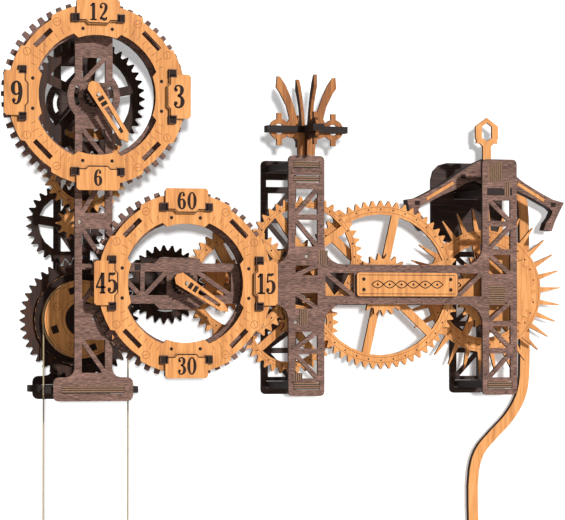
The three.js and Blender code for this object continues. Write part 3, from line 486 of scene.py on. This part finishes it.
# ---- dial engraving: minute ticks inside each quarter, eight screw heads, and pairs of
# pin holes behind each numeral.
def screw_marks(x, z, r, slant):
    """A round head with one slot across it."""
    across = turned([(-0.8 * r, 0), (0.8 * r, 0)], slant, x, z)
    return [line_mark(circle(x, z, r), 0.5 * MM, closed=True), line_mark(across, 0.45 * MM)]


QUARTERS = [i * math.pi / 2 for i in range(4)]
TICK_IN, TICK_OUT, TICK_LONG = 60.5 * MM, 65 * MM, 67.5 * MM
SCREW_R = 73 * MM
PIN_R, PIN_SIDE = 58 * MM, 13.2 * MM
for dial in ("hour", "minute"):
    low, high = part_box(f"{dial}_dial_ring")
    cx, cz = (low.x + high.x) / 2, (low.z + high.z) / 2
    lines, holes = [], []
    for q in QUARTERS:
        for minute in range(4, 12):
            a = q + math.radians(6 * minute)
            end = TICK_LONG if minute % 5 == 0 else TICK_OUT
            lines.append(line_mark(turned([(TICK_IN, 0), (end, 0)], a, cx, cz), 0.5 * MM))
        for share in (30, 60):
            x, z = turned([(SCREW_R, 0)], q + math.radians(share), cx, cz)[0]
            lines += screw_marks(x, z, 3.4 * MM, q + share)
        for side in (-1, 1):
            x, z = turned([(PIN_R, side * PIN_SIDE)], q, cx, cz)[0]
            holes.append(circle(x, z, 1.6 * MM, 14))
    burn(f"{dial}_dial_engraving", lines, "frame", low.y, browned)
    burn(f"{dial}_dial_pin_holes", holes, "frame", low.y, char)


# Round each numeral plate, a stepped char line inside its inner edge, and beside it the
# square ends of the two lugs that hold it. Reach and side are from the dial's middle.
STEP_LINE = [(70, 18.7), (65.4, 18.7), (65.4, 11), (62.9, 8.6), (62.9, -8.6), (65.4, -11),
             (65.4, -18.7), (70, -18.7)]
LUG_REACH, LUG_SIDE, LUG_HALF = 67.5, 20.5, 3.2
for dial in ("hour", "minute"):
    low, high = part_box(f"{dial}_dial_ring")
    cx, cz = (low.x + high.x) / 2, (low.z + high.z) / 2
    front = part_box(f"{dial}_numeral_{'12' if dial == 'hour' else '60'}")[0].y
    marks = []
    for q in QUARTERS:
        marks.append(line_mark(turned(np.array(STEP_LINE) * MM, q, cx, cz), 1.1 * MM))
        for side in (-1, 1):
            square = rectangle(LUG_REACH - LUG_HALF, LUG_REACH + LUG_HALF,
                               side * LUG_SIDE - LUG_HALF, side * LUG_SIDE + LUG_HALF)
            marks.append(turned(square, q, cx, cz))
    burn(f"{dial}_numeral_edges", marks, "frame", front, char)


# ---- name plate: a border, two pins at each end, and a plain twisted band with dots in
# its loops where a maker's words would go.
low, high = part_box("name_plate")
middle_z = (low.z + high.z) / 2
BORDER_IN, BAND_IN, BAND_RISE = 2.2 * MM, 14 * MM, 3.2 * MM
LOOPS = 6
edge_line = [(low.x + BORDER_IN, low.z + BORDER_IN), (high.x - BORDER_IN, low.z + BORDER_IN),
             (high.x - BORDER_IN, high.z - BORDER_IN), (low.x + BORDER_IN, high.z - BORDER_IN)]
border = [line_mark(edge_line, 0.5 * MM, closed=True)]
band = np.linspace(low.x + BAND_IN, high.x - BAND_IN, 12 * LOOPS + 1)
for side in (-1, 1):
    wave = side * BAND_RISE * np.sin(np.linspace(0, LOOPS * math.pi, len(band)))
    border.append(line_mark(np.stack([band, middle_z + wave], 1), 0.9 * MM))
burn("name_plate_band", border, "frame", low.y, char)
loop_middles = np.linspace(band[0], band[-1], 2 * LOOPS + 1)[1::2]
pins = [circle(x, middle_z, 1.1 * MM, 12) for x in loop_middles]
pins += [circle(x, z, 1.7 * MM, 14) for x in (low.x + 6.5 * MM, high.x - 6.5 * MM)
         for z in (low.z + 6 * MM, high.z - 6 * MM)]
burn("name_plate_dots", pins, "frame", low.y, char)


# ---- joints that show on the front plates: the ends of the cross pieces' tenons, with
# tan and scorched plies 2 mm apart, standing or lying.
def laminated(name, axis, spacing=2 * MM):
    """Ends of stacked sheets: tan and scorched layers spacing apart along axis."""
    m, t, s = new_material(name)
    where = node(t, "TexCoord").outputs["Object"]
    along = node(t, "SeparateXYZ", {"Vector": where}).outputs[axis]
    layer = math_node(t, "SINE", math_node(t, "MULTIPLY", along, 2 * math.pi / spacing))
    speck = node(t, "TexNoise", {"Vector": where, "Scale": 1 / (0.7 * MM), "Detail": 3.0})
    tone = math_node(t, "MULTIPLY_ADD", layer, 0.3, speck.outputs["Fac"])
    t.links.new(ramp(t, tone, (0.35, "#1d110d"), (0.7, "#8f6847")), s.inputs["Base Color"])
    s.inputs["Roughness"].default_value = 0.7
    return m


plate_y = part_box("bridge_front")[0].y
standing = laminated("standing_tenon_ends", "X")
lying = laminated("lying_tenon_ends", "Z")
# Each tenon end: x low, x high, z low and z high.
STANDING = [(176, 189.5, 95, 112.7), (191.6, 197.2, 82, 95), (12, 20, 18, 30.5),
            (-7.1, 0.8, -36.9, -23), (-11.5, -3.9, -87, -80)]
LYING = [(176.5, 192, -18.5, -1), (175.2, 198.8, -95, -89), (-11.8, 11.8, 105.2, 110.8),
         (-11.8, 11.8, 92.4, 97.6), (-11.8, 11.8, -95, -89), (-225, -169, -97, -91)]
for name, edges, layers in (("standing_tenons", STANDING, standing), ("lying_tenons", LYING, lying)):
    burn(name, [rectangle(*e) for e in edges], "frame", plate_y, layers)


# Small burnt dots along the solid edges of the bridge and the towers, 24 mm apart.
BRIDGE_DOT_Z, TOWER_DOT_X, DOT_R = 16.2 * MM, 13.9 * MM, 0.7 * MM
spots = [circle(x, z, DOT_R, 8) for z in (-BRIDGE_DOT_Z, BRIDGE_DOT_Z)
         for x in np.arange(38, 152, 24) * MM]
for x in (0.0, pivots[nodes["escape_wheel"]["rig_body"]].x):
    spots += [circle(x + side * TOWER_DOT_X, z * MM, DOT_R, 8)
              for side in (-1, 1) for z in (-82, -58, 52, 76, 100)]
burn("plate_dots", spots, "frame", plate_y, char)


# ---- wheels: fine lines burnt round each rim, a ring of dots, and small tenons round the
# drum's face. All of them turn with their wheel.
def ring_lines(centre, *radii):
    """Closed fine lines round centre."""
    return [line_mark(circle(centre.x, centre.z, r * MM, 72), 0.45 * MM, closed=True) for r in radii]


# Wheel: radii of its lines, radius of its dots and their number.
WHEEL_LINES = {"escape_wheel": ((46, 55), 50.5, 30), "large_wheel": ((66.5, 71), 69, 36),
               "upper_wheel": ((46, 48.5), 47.2, 24), "centre_wheel": ((40, 45.5), 43, 24),
               "lower_wheel": ((38, 41), 39.4, 18), "third_wheel": ((30.5, 33.5), 32, 18)}
for wheel, (radii, dot_r, count) in WHEEL_LINES.items():
    body = nodes[wheel]["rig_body"]
    centre, face = pivots[body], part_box(wheel)[0].y
    burn(f"{wheel}_lines", ring_lines(centre, *radii), body, face, browned)
    dots = [circle(x, z, 0.8 * MM, 8) for x, z in circle(centre.x, centre.z, dot_r * MM, count)]
    burn(f"{wheel}_dots", dots, body, face, char)

# The drum's face: a char ring round its hollow middle, tenons and screws by turns round
# it, and behind the groove a char flange.
drum_body = nodes["drum"]["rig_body"]
axle, drum_face = pivots[drum_body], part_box("drum")[0].y
FLANGE_Y = -37.3 * MM
FIRST_TENON, FIRST_SCREW = math.radians(20), math.radians(65)
tenons = [turned(rectangle(24, 30, -3.5, 3.5), FIRST_TENON + q, axle.x, axle.z) for q in QUARTERS]
burn("drum_tenons", tenons, drum_body, drum_face, char)
heads = []
for q in QUARTERS:
    x, z = turned([(26.5 * MM, 0)], FIRST_SCREW + q, axle.x, axle.z)[0]
    heads += screw_marks(x, z, 3.4 * MM, FIRST_SCREW + q)
burn("drum_screws", heads + ring_lines(axle, 19, 33), drum_body, drum_face, browned)
for name, r, width, count, y, depth in (("flange", 38.6, 6.4, 72, FLANGE_Y, 0.2),
                                        ("centre", 8.7, 13, 48, drum_face, 0.4)):
    band = line_mark(circle(axle.x, axle.z, r * MM, count), width * MM, closed=True)
    burn(f"drum_{name}", [band], drum_body, y, char, depth=depth * MM)


def wraps(name, turns, material):
    """Turns of cord round the drum's axle. Each is a ring of radius r at depth y:
    (x + (r + c cos b) cos a, y + c sin b, z + (r + c cos b) sin a), with c half the cord."""
    around, across = 64, 10
    verts, faces = [], []
    for r, y in turns:
        start = len(verts)
        for a in np.linspace(0, 2 * np.pi, around, endpoint=False):
            for b in np.linspace(0, 2 * np.pi, across, endpoint=False):
                reach = r * MM + CORD_D / 2 * math.cos(b)
                verts.append((axle.x + reach * math.cos(a), y * MM + CORD_D / 2 * math.sin(b),
                              axle.z + reach * math.sin(a)))
        for i in range(around):
            here, after = start + i * across, start + (i + 1) % around * across
            faces += [(here + j, here + (j + 1) % across, after + (j + 1) % across, after + j)
                      for j in range(across)]
    return add_piece(name, verts, faces, material, drum_body, smooth=True)


wraps("drive_wraps", ((34.2, -42.5), (33.0, -40.3), (34.2, -38.1)), linen)
wraps("winding_wraps", ((44.6, -29.2),), linen)

# ---- hands and anchor: two tenon marks beside the rod on each hand; and two clear strips
# let into the anchor's arms, with small tenon marks at the pallets and near the hub.
for hand, clockwise in (("hour_hand", 147), ("minute_hand", 123)):
    body = nodes[hand]["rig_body"]
    centre, face = pivots[body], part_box(hand)[0].y
    along = math.radians(90 - clockwise)
    marks = [turned(rectangle(x, x + 3.6, -2.9, 2.9), along, centre.x, centre.z) for x in (2.4, 7.6)]
    burn(f"{hand}_marks", marks, body, face, char)

anchor_body = nodes["anchor"]["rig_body"]
swing, anchor_face = pivots[anchor_body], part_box("anchor")[0].y
strips = [turned(rectangle(-15.6, 15.6, -1.5, 1.5), math.radians(-30 * side),
                 swing.x + side * 45.5 * MM, swing.z - 18 * MM) for side in (-1, 1)]
burn("anchor_strips", strips, anchor_body, anchor_face, honey, depth=11.5 * MM)
marks = [rectangle(x - 2.5, x + 2.5, z - 2, z + 2) + (swing.x, swing.z)
         for x, z in ((-68, -29.5), (68, -29.5), (-22.5, -4.3), (22.5, -4.3))]
burn("anchor_tenons", marks, anchor_body, anchor_face, char)


# ---- stage: a pale wall just behind the clock, seen only from the front, and a pale floor.
def plaster(name, low, high, from_front):
    """Matt paint with a faint mottle; with from_front, it can't be seen from behind."""
    m, t, s = new_material(name)
    where = node(t, "TexCoord").outputs["Object"]
    mottle = node(t, "TexNoise", {"Vector": where, "Scale": 30.0, "Detail": 3.0})
    t.links.new(ramp(t, mottle.outputs["Fac"], (0.3, low), (0.7, high)), s.inputs["Base Color"])
    s.inputs["Roughness"].default_value = 0.9
    s.inputs["Specular IOR Level"].default_value = 0.1
    if from_front:
        s.inputs["Emission Color"].default_value = linear("#ffffff")
        s.inputs["Emission Strength"].default_value = 0.15
        clear = node(t, "BsdfTransparent")
        behind = node(t, "NewGeometry").outputs["Backfacing"]
        mixed = node(t, "MixShader", {"Fac": behind})
        out = next(n for n in t.nodes if n.type == "OUTPUT_MATERIAL")
        t.links.new(s.outputs["BSDF"], mixed.inputs[1])
        t.links.new(clear.outputs["BSDF"], mixed.inputs[2])
        t.links.new(mixed.outputs["Shader"], out.inputs["Surface"])
    return m


def stage_plane(name, corners, material):
    """One square of the stage."""
    mesh = bpy.data.meshes.new(name)
    mesh.from_pydata(corners, [], [(0, 1, 2, 3)])
    mesh.materials.append(material)
    plane = bpy.data.objects.new(name, mesh)
    scene.collection.objects.link(plane)
    return plane


WALL_Y = cad_box[1][1] + 1.5 * MM
FLOOR_Z = cad_box[0][2] - 20 * MM
wall = stage_plane("wall", [(-3, WALL_Y, FLOOR_Z), (3, WALL_Y, FLOOR_Z), (3, WALL_Y, 3),
                            (-3, WALL_Y, 3)], plaster("wall_paint", "#f9f9f9", "#ffffff", True))
for ray in ("visible_diffuse", "visible_glossy", "visible_shadow", "visible_transmission"):
    setattr(wall, ray, False)
stage_plane("floor", [(-3, -3, FLOOR_Z), (3, -3, FLOOR_Z), (3, 3, FLOOR_Z),
                      (-3, 3, FLOOR_Z)], plaster("floor_paint", "#f0f0f0", "#f4f4f4", False))

# ---- light: a hard key from the upper right in front for the clock, a gentler one straighter
# on for the wall behind it, so that its shadow stays close, and a weak white surround.
def sun(name, energy, angle, direction, wall_state):
    """A sun lamp shining along direction. It lights the wall only, or all but the wall."""
    lamp = bpy.data.objects.new(name, bpy.data.lights.new(name, "SUN"))
    lamp.data.energy = energy
    lamp.data.angle = math.radians(angle)
    lamp.rotation_euler = Vector(direction).to_track_quat("-Z", "Y").to_euler()
    scene.collection.objects.link(lamp)
    lit = bpy.data.collections.new(f"{name}_lit")
    lit.objects.link(wall)
    lamp.light_linking.receiver_collection = lit
    lit.collection_objects[0].light_linking.link_state = wall_state
    return lamp


sun("key", 3.2, 3, (-0.34, 1.0, -0.42), "EXCLUDE")
sun("wall_key", 2.6, 3, (0.245, 0.968, -0.038), "INCLUDE")
world = bpy.data.worlds.new("surround")
world.use_nodes = True
background = next(n for n in world.node_tree.nodes if n.type == "BACKGROUND")
background.inputs["Color"].default_value = linear("#ffffff")
background.inputs["Strength"].default_value = 0.36
scene.world = world
scene.view_settings.view_transform = "Standard"
